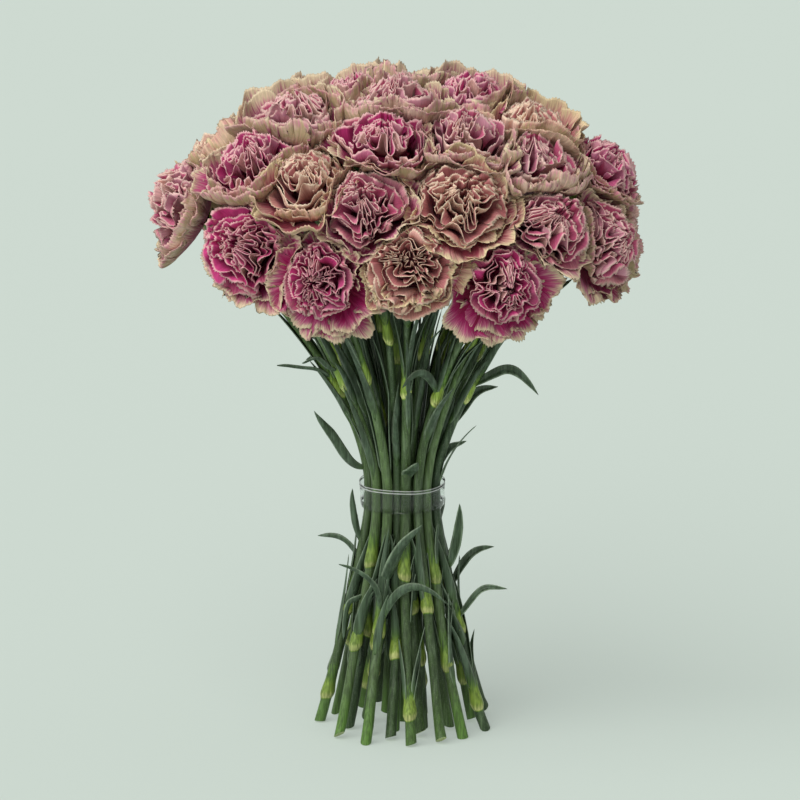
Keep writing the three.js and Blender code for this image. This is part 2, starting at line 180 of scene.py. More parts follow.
# The leaves: flower, how far up its stem the leaf starts, the point that it bends towards and its
# tip, both from where it starts, its width, and how far its blade turns from lying flat, in degrees.
LEAVES = [
    (1, 182, (-20, -4, 12), (-36, -6, 42), 7.5, 55),
    (1, 240, (-14, -7, 16), (-38, -10, 14), 5.5, 40),
    (18, 250, (-10, 2, 16), (-26, 0, 18), 5, 40),
    (7, 238, (22, -8, 30), (46, -12, -2), 7.5, 50),
    (8, 180, (6, -2, 14), (24, -4, 22), 6, 60),
    (7, 250, (2, -4, 12), (13, -6, 24), 5, 60),
    (5, 236, (-8, -20, 34), (-24, -18, 10), 6.5, 80),
    (4, 180, (3, -5, 8), (8, -9, 15), 11, 85),
    (7, 112, (10, -4, 22), (9, -8, 50), 7.5, 65),
    (7, 78, (8, -4, 26), (34, -8, 24), 5.5, 35),
    (3, 84, (2, -8, 36), (-28, -12, 42), 5, 50),
    (3, 106, (4, -8, 24), (27, -8, 46), 10, 80),
    (3, 78, (16, -12, 52), (46, -12, 20), 6.5, 75),
    (1, 128, (-8, -2, 20), (-7, -2, 40), 5, 60),
    (2, 98, (-14, -6, 8), (-15, -8, -30), 5.5, 60),
    (3, 256, (-4, -14, 14), (-14, -18, 30), 6, 60),
    (2, 252, (-10, -10, 14), (-24, -12, 8), 5, 50),
    (6, 276, (8, -10, 10), (20, -14, 22), 5.5, 60),
    (24, 204, (14, 8, 26), (36, 18, 26), 7, 45),
    (25, 240, (8, 16, 26), (18, 38, 4), 7, 40),
    (26, 184, (-4, 12, 18), (-10, 40, 34), 7.5, 50),
    (27, 230, (-12, 10, 26), (-34, 22, 12), 6.5, 45),
    (24, 92, (8, 4, 28), (30, 12, 26), 6, 40),
    (25, 104, (6, 8, 24), (12, 12, 46), 7.5, 70),
    (26, 84, (8, 12, 38), (24, 18, 26), 6, 60),
    (27, 98, (-8, 6, 30), (-34, 14, 24), 6, 45),
    (26, 256, (4, 14, 16), (8, 24, 28), 6, 60),
]
# A leaf's width by the share of its length, its keel, how much further it twists by its tip, how
# far its blade waves up and down and from side to side, its half thickness and its grid.
LEAF_SHARES = (0, 0.16, 0.42, 0.68, 0.88, 1)
LEAF_WIDTHS = (0.45, 0.78, 1, 0.85, 0.48, 0.02)
LEAF_KEEL = 1.3
LEAF_TWIST = 25
LEAF_CURL = 2.6
LEAF_WAVE = 0.35
LEAF_THICK = 0.4
LEAF_GRID = (28, 9)
# Narrow leaves that clasp their stem: their grid and half thickness, the loose ones on each stem
# above the tie and below it, and those just below a bloom, with how far below the calyx they start.
CLASP_GRID = (18, 7)
CLASP_THICK = 0.3
CLASP_SHORTEST = 14
LOOSE_ABOVE = 4
LOOSE_BELOW = 4
LOOSE_PALE = 0.25
NECK_LEAVES = 3
NECK_START = 48

# The rings of petals, from the guards in to the heart: where the ring's edge stands, out and up, as
# shares of the bloom's radius, its petals and how many degrees each spans, how far its edge folds in
# and out in millimetres, where its visible part starts, and the two handles of its course from root
# to edge, as shares of its way out and up. CUP_RINGS are the guards' out and up in a full cup.
FLAT_BOW = ((0.5, 0.25), (0.86, 1.05))
SECOND_BOW = ((0.6, 0.2), (0.92, 0.9))
INNER_BOW = ((0.42, 0.42), (0.74, 0.86))
CUP_BOW = np.array([(0.95, 0.06), (1.12, 0.6)])
CUP_RINGS = [(0.9, 0.8), (0.8, 0.88)]
RING_FACTS = ("out", "up", "petals", "wide", "fold", "start", "bow")
RINGS = [
    (1.1, 0.3, 5, 92, 2.9, 0.0, FLAT_BOW),
    (0.95, 0.42, 5, 88, 3.1, 0.0, SECOND_BOW),
    (0.77, 0.58, 5, 92, 3.6, 0.0, INNER_BOW),
    (0.64, 0.72, 5, 90, 4.3, 0.3, INNER_BOW),
    (0.52, 0.83, 5, 88, 4.8, 0.35, INNER_BOW),
    (0.4, 0.91, 5, 86, 5.0, 0.4, INNER_BOW),
    (0.29, 0.96, 4, 104, 4.6, 0.4, INNER_BOW),
    (0.18, 0.98, 3, 130, 3.0, 0.4, INNER_BOW),
    (0.09, 0.96, 3, 116, 2.2, 0.4, INNER_BOW),
]
GUARD_RINGS = 2
RING_TURN = 2.4
# What differs between guards and inner petals: the grid, how far and how sharply the sides of the
# edge drop, how ragged it is, how much a petal differs from its ring, where its folds start, how
# they grow and how much its neighbours may press them flat, how much of what is pressed back stands
# up, and how far the petal may pass the plane between two blooms.
KIND_FACTS = ("guard", "grid", "drop", "sharp", "ragged", "uneven", "folds", "grow", "soft")
KIND_FACTS += ("stand", "past")
GUARD = (True, (12, 65), 0.3, 4, 0.06, 0.32, 0.1, 0.9, 0.9, 0.7, 0.28)
INNER = (False, (7, 37), 0.14, 3, 0.04, 0.2, 0.3, 1.15, 1, 0.4, 0)
# How much a guard's own cup may differ, how much less even a cup makes a head, and how much it
# raises it. The outer inner petals stand as cups in blooms that lie nearer upright than these angles.
SPLAY = 0.7
CUP_NARROW = 0.12
CUP_RAISE = 0.06
CUPPED_TILTS = (62, 42)
CUPPED_RINGS = 4
# In the blooms that face the viewer, from the first of these angles to the second, the head sits a
# little high and the lower guards hang: in full, or by flower as much as it says.
FACING_TILTS = (56, 78)
HEAD_RAISED = 0.09
DROOP = {"out": 0.18, "up": 0.2}
HANGS = {2: 0.2, 4: -1.8, 5: 0.8, 6: -1.6}
# How much higher the guards on the far side of an upper bloom rise: those that fan out along the
# skyline, by flower, where they are also smoother, and the others. The flower and the ring whose
# petals hang at the back instead, over the gap below it.
FAR_RISE = -0.15
FAR_RISES = {8: 0.1, 10: 0.32, 11: 0.2, 13: 0.48, 14: 0.42, 15: 0.32, 16: 0.25, 18: 0.3, 22: 0.4}
FAN_SMOOTH = 0.78
SKIRT = (13, 0)
SKIRT_RISE = -0.32
# How much lower a flower's head sits, and how far out any petal may reach, as shares of the radius.
LOW_HEADS = {13: 0.22, 14: 0.1}
FARTHEST = 1.24
NEARER = {8: 0.94}
# How much wider the guards of the upper blooms are, so that no gaps stay between blooms, and the
# angles between which they become so.
GUARD_FILL = 0.12
FILL_TILTS = (62, 54)
# The share of a guard's folds that its neighbours don't press flat, and its fine ribs and how far it
# strays from its crowded place, in millimetres, and over what lengths it strays.
GUARD_PLEAT = 0.8
GUARD_RIB = 0.3
GUARD_STRAY = 4.2
STRAY_LENGTHS = (26, 34)
# A petal's root, as a share of the bloom's radius, its thickness at its middle and at its edge, and
# the place of its teeth along it.
PETAL_ROOT = 0.13
PETAL_THICK = 0.36
EDGE_THICK = 0.54
TEETH_FROM = 0.93
# The closed heart of a bloom, under its innermost petals: out and up, as shares of its radius, and
# how far the innermost petals may stand off the bloom's middle.
HEART = [(0.01, 0.47), (0.1, 0.46), (0.2, 0.4), (0.28, 0.28), (0.24, 0.12), (0.01, 0.1)]
HEART_SIDES = 18
HEART_STRAY = 0.34

# The camera: its height above the horizon, its distance from the point that it looks at, the size
# of a picture point there, and where that point is seen, off the picture's middle.
CAMERA = {"tilt": 16, "away": 4000, "point": 0.68, "aim": 230, "off": 2}
PICTURE = 800
SENSOR = 36
FLOOR = {"half": 9.0, "cells": 6, "height": -0.0002}


def chance(a, b):
    """A fixed number from 0 to 1 for a pair of whole numbers, the same on every run."""
    wave = math.sin(a * 127.1 + b * 311.7) * 43758.5453
    return wave - math.floor(wave)


def unit(v):
    v = np.asarray(v, float)
    return v / np.linalg.norm(v)


def units(v):
    return v / np.maximum(np.linalg.norm(v, axis=-1, keepdims=True), 1e-12)


def smooth(low, high, value):
    share = np.clip((np.asarray(value, float) - low) / (high - low), 0, 1)
    return share * share * (3 - 2 * share)


def around(sides):
    return np.arange(sides) / sides * TURN


def turned(angle, a, b):
    """The directions at some angles from one direction to another that is square to it."""
    return np.cos(angle)[..., None] * a + np.sin(angle)[..., None] * b


def cells(rows, columns):
    """How far along, from 0, and across, from -1 to 1, the points of a sheet's grid lie."""
    return np.meshgrid(np.linspace(0, 1, rows + 1), np.linspace(-1, 1, columns), indexing="ij")


def draws(first, seed):
    return [chance(first + k, seed) for k in range(5)]


def placed(index, row):
    """A flower: its facts, where it stands and which way it faces."""
    flower = SimpleNamespace(index=index, number=index + 1, **dict(zip(FACTS, row)))
    tilt = flower.tilt * DEG
    azimuth = flower.azimuth * DEG
    half = BLOOM_MIDDLE * flower.radius
    across = math.sin(tilt) * math.sin(azimuth)
    deep = -math.sin(tilt) * math.cos(azimuth)
    high = math.cos(tilt)
    depth = DOME["front"] if deep < 0 else DOME["back"]
    axis = unit([across / DOME["width"], deep / depth, high / DOME["rise"]])
    middle = np.array([across * DOME["width"], deep * depth, DOME["rim"] + high * DOME["rise"]])
    flower.middle = middle + axis * flower.proud
    flower.mouth = flower.middle - axis * half
    flower.calyx = unit(axis + UP * CALYX_UPTURN)
    flower.side = unit(np.cross(UP, axis))
    rise = flower.looks * DEG
    flower.look = axis * math.cos(rise) + np.cross(axis, flower.side) * math.sin(rise)
    flower.root = flower.mouth + (axis - flower.look) * half * ROOT_SHARE
    flower.crown = np.cross(flower.look, flower.side)
    return flower


def petal_rings():
    """The rings' facts, with those of their kind of petal and their place from rim to heart."""
    rings = []
    for layer, ring in enumerate(RINGS):
        kind = GUARD if layer < GUARD_RINGS else INNER
        facts = dict(zip(RING_FACTS + KIND_FACTS, ring + kind))
        rings.append(SimpleNamespace(layer=layer, inner=layer / (len(RINGS) - 1), **facts))
    return rings


flowers = [placed(index, row) for index, row in enumerate(FLOWERS)]


def walls(flower):
    """The planes between a bloom and its neighbours: their normals and how far out they lie."""
    normals = []
    reaches = []
    for other in flowers:
        if other is flower:
            continue
        gap = other.middle - flower.middle
        apart = np.linalg.norm(gap)
        normal = gap / apart
        share = 0.5 + (flower.radius ** 2 - other.radius ** 2) / (2 * apart**2)
        normals.append(normal)
        reaches.append(normal @ flower.middle + share * apart - BLOOM_GAP / 2)
    return np.array(normals), np.array(reaches)


def room(flower, cell, away, height):
    """How far it is from a bloom's axis, at a height above its root, to the nearest wall."""
    normals, reaches = cell
    slope = away @ normals.T
    left = reaches - normals @ flower.root - height[:, None] * (normals @ flower.look)
    facing = slope > LEAST_SLOPE
    reach = np.where(facing, left / np.where(facing, slope, 1), np.inf)
    return np.maximum(reach.min(axis=1), LEAST_ROOM)


def pressed(flower, cell, away, out, height, past):
    """How far out a point lies once its bloom's widest edge is pressed back to the wall."""
    limit = room(flower, cell, away, height) * past
    free = FREE_SHARE * limit
    widest = WIDEST * flower.radius
    edge = free + (limit - free) * np.tanh((widest - free) / (limit - free))
    near = out * (1 - (1 - edge / widest) * np.sqrt(np.maximum(out, 0) / widest))
    return np.where(widest <= free, out, near)


def crowded(flower, cell, angle, out, up, stand, past):
    """Points of a bloom after its neighbours have pressed on it."""
    away = turned(angle, flower.side, flower.crown)
    height = up + stand * (out - pressed(flower, cell, away, out, up, past))
    near = pressed(flower, cell, away, out, height, past)
    return flower.root + np.outer(height, flower.look) + away * near[:, None]


def pushed_apart(places):
    """Moves each pair of stems that lie too near each other apart, half the way each."""
    for i, a in enumerate(places):
        for b in places[i + 1 :]:
            step = b - a
            far = math.hypot(*step)
            if far < STEM_PITCH:
                step *= (STEM_PITCH - far) / 2 / far
                a -= step
                b += step


def packed_stems():
    """The stems' places in the tie, pushed apart until they lie side by side inside an oval."""
    oval = np.array([WAIST["width"], WAIST["depth"]])
    places = []
    for flower in flowers:
        out = min(flower.tilt / RIM_ANGLE, 1)
        turn = flower.azimuth * DEG
        places.append(oval * out * [math.sin(turn), -math.cos(turn)])
    for _ in range(PACKING_ROUNDS):
        pushed_apart(places)
        for place in places:
            place /= max(1, math.hypot(*(place / oval)))
    return places


waist = packed_stems()


class Line:
    """A stem's line, by a measure that is its height up to the waist and runs on to the calyx."""

    def __init__(self, flower):
        x, y = waist[flower.index]
        self.place = np.array([x, y, 0.0])
        self.foot = flower.mouth - flower.calyx * CALYX_LENGTH
        start = np.array([x, y, WAIST["top"]])
        neck = self.foot - flower.calyx * NECK
        self.length = float(np.linalg.norm(self.foot - start))
        self.end = WAIST["top"] + self.length
        rise = start + np.array([x, y, self.length]) * SET_OFF
        self.handles = (start, rise, neck, self.foot)
        self.kinks = kinks(flower, self.end)
        turn = flower.azimuth * DEG
        self.side = np.cross(UP, [math.sin(turn), -math.cos(turn), 0])

    def point(self, s):
        marks, across, deep = self.kinks
        return self.course(s) + [np.interp(s, marks, across), np.interp(s, marks, deep), 0]

    def course(self, s):
        if s > WAIST["top"]:
            a, b, c, d = self.handles
            t = min((s - WAIST["top"]) / self.length, 1)
            u = 1 - t
            return a * u**3 + b * 3 * u * u * t + c * 3 * u * t * t + d * t**3
        drop = max(0, 1 - s / WAIST["bottom"])
        spread = 1 + (FEET_SPREAD - 1) * drop**FEET_CURVE
        return self.place * spread + UP * s

    def along(self, s):
        return unit(self.point(s + 1) - self.point(s - 1))


def kinks(flower, end):
    """How far a stem strays from its even course: marks along it, and the steps at each."""
    index = flower.index
    still = [0, WAIST["bottom"] - TIE_CLEAR, WAIST["top"] + TIE_CLEAR, end - NECK]
    rows = [(mark, 0, 0) for mark in still]
    for number, node in enumerate(nodes_of(flower)):
        apart = min(abs(node - mark) for mark in still)
        if apart >= KINK_CLEAR:
            size = STEM_KINK * min(1, apart / KINK_FULL)
            steps = [size * (2 * chance(index, seed + number) - 1) for seed in (90, 94)]
            rows.append((node, *steps))
    return np.array(sorted(rows)).T


def nodes_of(flower):
    """Where a stem's nodes lie: as seen, or at places of its own."""
    if flower.number in SEEN_NODES:
        return SEEN_NODES[flower.number]
    low, middle, high = [start + span * chance(flower.index, seed) for start, span, seed in NODES]
    outer = flower.tilt >= OUTER_STEM_ANGLE and low < NODES[1][0] - 2 * NODE_ABOVE
    return [low, middle, high] if outer else [low, high]


def linked(name, data):
    """A Blender object that holds some data, in the scene."""
    made = bpy.data.objects.new(name, data)
    bpy.context.scene.collection.objects.link(made)
    return made


class Shape:
    """A mesh in the making: points, faces, and named numbers for each point or face."""

    def __init__(self):
        self.points = []
        self.faces = []
        self.count = 0
        self.values = {"POINT": {}, "FACE": {}}

    def add(self, points, faces, on_points, on_faces=None):
        self.points.append(np.asarray(points, float))
        self.faces.append(np.asarray(faces, int) + self.count)
        self.count += len(points)
        self.note("POINT", on_points, len(points))
        self.note("FACE", on_faces or {}, len(faces))

    def note(self, domain, values, size):
        for name, value in values.items():
            full = value if np.ndim(value) == 2 else np.zeros(size) + value
            self.values[domain].setdefault(name, []).append(full)

    def made(self, name, material):
        """The Blender object, in metres and moved as the part is."""
        mesh = bpy.data.meshes.new(name)
        points = (np.concatenate(self.points) + SHIFT) * MM
        mesh.from_pydata(points, [], np.concatenate(self.faces), shade_flat=False)
        for domain, values in self.values.items():
            for key, parts in values.items():
                data = np.concatenate(parts).astype(np.float32)
                kind, field = ("FLOAT_VECTOR", "vector") if data.ndim == 2 else ("FLOAT", "value")
                mesh.attributes.new(key, kind, domain).data.foreach_set(field, data.ravel())
        mesh.validate()
        mesh.materials.append(material)
        return linked(name, mesh)


def cad_shift():
    """The part is moved so that its middle stands over the origin; the tie shows by how much."""
    low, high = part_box("tie")
    return np.array([(low[0] + high[0]) / 2, (low[1] + high[1]) / 2, 0]) / MM


SHIFT = cad_shift()


# ---- thin sheets ----


def sheet_faces(rows, columns):
    """The faces of a closed sheet: a front and a back grid that share their border."""
    front = np.arange((rows + 1) * columns).reshape(rows + 1, columns)
    back = front.copy()
    inner = np.arange((rows - 1) * (columns - 2)).reshape(rows - 1, columns - 2)
    back[1:-1, 1:-1] = inner + front.size
    faces = []
    for grid, order in ((front, (0, 1, 2, 3)), (back, (0, 3, 2, 1))):
        corners = (grid[:-1, :-1], grid[:-1, 1:], grid[1:, 1:], grid[1:, :-1])
        faces.append(np.stack([corners[k].ravel() for k in order], 1))
    return np.concatenate(faces)


def normals_of(grid):
    """The direction square to a grid of points, at each point."""
    rise = np.gradient(grid, axis=0)
    across = np.gradient(grid, axis=1)
    return units(np.cross(across, rise))


def both_sides(front, back):
    """A list of a sheet's points, or of a number at each: its front, then its back's own ones."""
    rest = front.shape[2:]
    return np.concatenate([front.reshape(-1, *rest), back[1:-1, 1:-1].reshape(-1, *rest)])


def sheet(shape, grid, half, on_points, on_faces=None):
    """A closed thin sheet on a grid of points, with half its thickness on each side."""
    step = normals_of(grid) * half
    front = grid + step
    front[0], front[-1] = grid[0], grid[-1]
    front[:, 0], front[:, -1] = grid[:, 0], grid[:, -1]
    values = {name: both_sides(v, v) if np.ndim(v) else v for name, v in on_points.items()}
    faces = sheet_faces(len(grid) - 1, len(grid[0]))
    shape.add(both_sides(front, grid - step), faces, values, on_faces)


def tube_faces(rings, sides):
    faces = []
    for a in range(0, (rings - 1) * sides, sides):
        for k in range(sides):
            n = (k + 1) % sides
            faces.append((a + k, a + n, a + sides + n, a + sides + k))
    return faces


# ---- petals ----


def folds(index, angle, out, own):
    """The waves that run through a bloom's petals: a wave and how far it leans round the bloom."""
    starts = [TURN * chance(index, seed) for seed in range(24, 31)]
    count = 8 + int(3 * chance(index, 21))
    drift = (0.1 + 0.14 * chance(index, 22)) * (1 if chance(index, 23) > 0.5 else -1)
    turn = angle + 0.3 * np.sin(2 * angle + starts[0])
    turn = turn + 0.17 * np.sin(3 * angle + starts[1] + out * 0.06)
    turn = turn + 0.08 * np.sin(5 * angle + starts[5] - out * 0.05)
    phase = count * turn + drift * out + starts[2] + own
    phase = phase + 0.9 * np.sin(0.31 * out + 2 * angle + starts[3])
    strength = 0.85 + 0.35 * np.sin(3 * angle + 0.2 * out + starts[4])
    strength = strength + 0.3 * np.sin(5 * angle - 0.3 * out + starts[6])
    wave = strength * np.sin(phase) + 0.16 * np.sin(2.4 * phase + 1.3)
    return wave, -0.38 / count * np.sin(2 * phase)


def bow(handles, out, up, t):
    """A petal's course from its root to its edge, in the plane of the bloom's axis."""
    (a_out, a_up), (b_out, b_up) = handles
    u = 1 - t
    way = out - PETAL_ROOT
    course_out = PETAL_ROOT * u**3 + 3 * u * u * t * (PETAL_ROOT + way * a_out)
    course_out = course_out + 3 * u * t * t * (PETAL_ROOT + way * b_out) + t**3 * out
    course_up = 3 * u * u * t * up * a_up + 3 * u * t * t * up * b_up + t**3 * up
    return course_out, course_up


def strayed(flower, grid, deep, draw):
    """The steps by which a guard leaves the straight lines that crowding gives it."""
    reach = grid - flower.root
    across = reach @ flower.side
    over = reach @ flower.crown
    short, long = STRAY_LENGTHS
    step = np.sin(TURN * (across / short + over / long + draw[0]))
    step = step + np.sin(TURN * (across / long - over / short + draw[3]))
    away = across[..., None] * flower.side + over[..., None] * flower.crown
    return units(away) * (GUARD_STRAY / 2 * deep * step)[..., None]


class Petal:
    """One petal: a fan on a narrow claw, folded and toothed along its edge."""

    def __init__(self, flower, ring, number, roll):
        self.flower = flower
        self.ring = ring
        self.key = 100 * ring.layer + number
        self.draw = draw = [chance(flower.index * 7 + n, self.key + 31) for n in range(9)]
        rows, columns = ring.grid
        self.row = np.linspace(0, 1, rows + 1)
        t = ring.start + (1 - ring.start) * (1 - (1 - self.row) ** 1.25)
        self.t, self.s = np.meshgrid(t, np.linspace(-1, 1, columns), indexing="ij")
        shift = number + 0.5 * (ring.layer % 2) + 0.3 * (draw[0] - 0.5)
        self.middle = roll + TURN * shift / ring.petals
        self.fan = 0.5 * ring.wide * DEG * (0.9 + 0.2 * draw[1])
        self.angle = self.middle + self.s * self.fan * (0.55 + 0.45 * smooth(0, 0.9, self.t))
        # How much the flower faces the viewer, and how far the petal lies on its far side.
        self.facing = smooth(*FACING_TILTS, flower.tilt)
        far = math.cos(self.middle) * flower.side[1] + math.sin(self.middle) * flower.crown[1]
        self.far = max(0, far)
        self.fanned = self.far if ring.guard and flower.number in FAR_RISES else 0

    def course(self):
        """How far along its way each point lies: the edge is highest in its middle, and ragged."""
        reach = 1 - self.ring.drop * np.abs(self.s) ** self.ring.sharp
        ragged = self.ring.ragged * (1 - 0.8 * self.fanned)
        wave = np.sin(self.s * (5 + 3 * self.draw[2]) + 6 * self.draw[3])
        reach = reach - ragged * (1 + wave)
        return self.t * (1 - (1 - reach) * smooth(0.3, 1, self.t))

    def guard_edge(self, out, up):
        """A guard's edge, out and up, and how much of a cup it stands in."""
        number = self.flower.number
        layer = self.ring.layer
        share = np.clip(self.flower.cup + SPLAY * (self.draw[8] - 0.6), 0, 1)
        cup_out, cup_up = CUP_RINGS[layer]
        rise = SKIRT_RISE if (number, layer) == SKIRT else FAR_RISES.get(number, FAR_RISE)
        hang = self.facing * max(0, -math.sin(self.middle)) * HANGS.get(number, 1.0)
        fill = 1 + GUARD_FILL * smooth(*FILL_TILTS, self.flower.tilt)
        out = (out + (cup_out - out) * share) * (1 + DROOP["out"] * hang) * fill
        up = up + (cup_up - up) * share + rise * self.far * (1 - self.facing)
        return out, up - DROOP["up"] * hang, share

    def inner_edge(self, out, up):
        """An inner petal's edge, out and up, and how much of a cup it stands in."""
        cup = self.flower.cup
        out = out * (1 - CUP_NARROW * cup) * self.flower.head
        up = up + CUP_RAISE * cup - LOW_HEADS.get(self.flower.number, 0)
        upright = smooth(*CUPPED_TILTS, self.flower.tilt) * (0.5 + 0.5 * self.draw[8])
        return out, up, upright if self.ring.layer < CUPPED_RINGS else 0

    def edge(self):
        """The handles of the petal's way to its edge, and how far out and up the edge stands."""
        find = self.guard_edge if self.ring.guard else self.inner_edge
        out, up, share = find(self.ring.out, self.ring.up)
        bent = np.array(self.ring.bow)
        uneven = self.ring.uneven * (1 - 0.5 * self.fanned)
        out = out * (1 + uneven * (self.draw[4] - 0.5)) * (1 + 0.035 * self.s)
        up = up + uneven * (self.draw[5] - 0.5)
        farthest = NEARER.get(self.flower.number, FARTHEST)
        return bent + (CUP_BOW - bent) * share, np.minimum(out, farthest), up

    def teeth(self):
        """How far the teeth along the edge stand out, as shares of the bloom's radius."""
        count = len(self.s[0])
        size = [chance(self.flower.index * 64 + k, self.key + 71) for k in range(count)]
        side = np.where(np.arange(count) % 2 == 0, 1.0, -0.5) * (0.35 + 0.65 * np.array(size))
        return side * smooth(TEETH_FROM, 1, self.row)[:, None] / self.flower.radius

    def waves(self, out):
        """The petal's folds, how far they lean round the bloom, and a guard's fine ribs."""
        draw = self.draw
        angle = self.angle
        wave, lean = folds(self.flower.index, angle, out * self.flower.radius, 0.9 * (draw[7] - 0.5))
        if not self.ring.guard:
            return wave, lean, 0
        ruffle = 13 + 6 * draw[6]
        bend = 0.5 * np.sin(2.6 * angle + TURN * draw[1])
        wave = 0.75 * np.sin(ruffle * angle + 3 * bend + TURN * draw[7]) + 0.2 * wave
        wave = wave + 0.35 * np.sin(2.1 * ruffle * angle - 4 * bend + TURN * draw[3])
        wave = wave + 0.55 * np.sin(3.2 * self.s + TURN * draw[0])
        ribs = np.sin(2.7 * ruffle * angle + 5 * bend) * smooth(0.15, 0.6, self.t)
        return wave, lean * 0.3, ribs * (1 - FAN_SMOOTH * self.fanned)

    def off_middle(self, angle, out):
        """Inner petals gather round a heart that stands a little off the bloom's middle."""
        share = smooth(0.1, 0.8, self.t)
        x, y = [HEART_STRAY * (chance(self.flower.index, seed) - 0.5) for seed in (33, 35)]
        x = out * np.cos(angle) + x * self.ring.inner * share
        y = out * np.sin(angle) + (y * self.ring.inner + HEAD_RAISED * self.facing) * share
        return np.arctan2(y, x), np.hypot(x, y)

    def grid(self, cell):
        """The petal's middle surface: its course, teeth and folds, pressed back by neighbours."""
        ring = self.ring
        radius = self.flower.radius
        *way, course = (*self.edge(), self.course())
        out, up = bow(*way, course)
        ahead_out, ahead_up = bow(*way, course + 0.01)
        step = np.hypot(ahead_out - out, ahead_up - up)
        along_out = (ahead_out - out) / step
        along_up = (ahead_up - up) / step
        bite = self.teeth()
        out = out + along_out * bite
        up = up + along_up * bite
        wave, lean, ribs = self.waves(out)
        deep = smooth(ring.folds, 1, self.t) ** ring.grow
        size = ring.fold * (0.65 + 0.6 * self.draw[6])
        pleat = size * deep * wave * (1 - FAN_SMOOTH * self.fanned)
        fold = pleat / radius * ring.soft
        out = np.maximum(out - along_up * fold, 0.02)
        up = up + along_out * fold + 0.035 * deep * wave
        angle = self.angle + lean * deep
        if not ring.guard:
            angle, out = self.off_middle(angle, out)
        sizes = (angle.ravel(), out.ravel() * radius, up.ravel() * radius)
        past = 1 + ring.past * self.draw[6]
        grid = crowded(self.flower, cell, *sizes, ring.stand, past).reshape(*out.shape, 3)
        if ring.guard:
            raised = GUARD_PLEAT * pleat * (1 - 0.8 * self.s**4) + GUARD_RIB * ribs
            grid = grid + normals_of(grid) * raised[..., None]
            grid = grid + strayed(self.flower, grid, deep, self.draw)
        return grid

    def add_to(self, shape, cell):
        """Adds the petal, with its place from root to edge, its grain and its own tints."""
        thick = PETAL_THICK + (EDGE_THICK - PETAL_THICK) * smooth(0.75, 0.95, self.row)
        span = self.fan * self.ring.out * self.flower.radius
        depth = np.full_like(self.s, 40 * self.draw[0] + 7 * self.key)
        grain = np.stack([self.s * span, self.t * self.flower.radius, depth], -1)
        rows, columns = self.ring.grid
        back = np.repeat([1.0, 0.0], rows * (columns - 1))
        on_faces = {"back": back, "draw": self.draw[2], "inner": self.ring.inner}
        half = thick[:, None, None] / 2
        sheet(shape, self.grid(cell), half, {"along": self.t, "grain": grain}, on_faces)


def heart(shape, flower):
    """The closed heart, which fills what would be open between the innermost petals."""
    turn = around(HEART_SIDES)
    away = turned(turn, flower.side, flower.crown)
    points = []
    for out, up in HEART:
        wavy = out * (1 + 0.12 * np.sin(5 * turn + flower.index))
        centre = flower.root + flower.look * up * flower.radius
        points.append(centre + away * (wavy * flower.radius)[:, None])
    points = np.concatenate(points)
    faces = np.array(tube_faces(len(HEART), HEART_SIDES))[:, ::-1]
    on_points = {"along": 0.45, "grain": points}
    shape.add(points, faces, on_points, {"back": 0.0, "draw": 0.5, "inner": 1.0})


def bloom(flower):
    shape = Shape()
    cell = walls(flower)
    roll = chance(flower.index, SEED["roll"]) * TURN
    for ring in petal_rings():
        for number in range(ring.petals):
            Petal(flower, ring, number, roll + ring.layer * RING_TURN).add_to(shape, cell)
    heart(shape, flower)
    return shape


# ---- stems ----


def square_to(along, side):
    """Two directions square to a line and to each other, the first of them nearest to a side."""
    across = unit(np.cross(along, side))
    return unit(np.cross(across, along)), across


def ring_points(centre, along, side, radius):
    flat, across = square_to(along, side)
    return centre + radius[:, None] * turned(around(len(radius)), flat, across)


def stem_radius(s, line, lift=0):
    top = WAIST["top"]
    marks = [lift, STEM_LOW, WAIST["bottom"], top, top + 0.5 * line.length, line.end]
    widths = [STEM_WIDTHS[k] for k in ("foot", "low", "tie", "tie", "top", "top")]
    return float(np.interp(s, marks, widths))


def node_swell(s, nodes):
    """How much a node's sheath adds to the stem's radius, and how pale the sheath is there."""
    swell = 0
    pale = 0
    for node in nodes:
        above = s - node
        if above > NODE_ABOVE + 14:
            continue
        rise = smooth(-2.8, 2.6, above)
        fall = 1 - 0.7 * smooth(2.5, 13, above)
        end = 1 - smooth(0.7 * NODE_ABOVE, NODE_ABOVE + 12, above)
        swell = max(swell, NODE_SWELL * rise * fall * end)
        fade = sum(share * smooth(low, high, above) for share, low, high in PALE_FADES)
        pale = max(pale, smooth(-2, -0.6, above) * (1 - fade))
    return swell, pale


def stations(line, nodes, lift):
    """The measures at which a stem's tube has a ring: even steps, and closer ones at the nodes."""
    steps = int((line.end - lift) / STEM_STEP) + 1
    marks = set(np.round(np.linspace(lift + UNCUT, line.end, steps), 3))
    marks.update(round(node + step, 3) for node in nodes for step in NODE_STEPS)
    return [lift] + sorted(s for s in marks if lift + UNCUT <= s <= line.end)


def node_lip(index, s, node, turn):
    """How far a ring of the tube leaves its level near a node, where the sheath's lip slants."""
    lip = LIP_TILT * np.cos(turn + TURN * chance(index, int(node)))
    return lip * (1 - smooth(3, LIP_REACH, abs(s - node)))


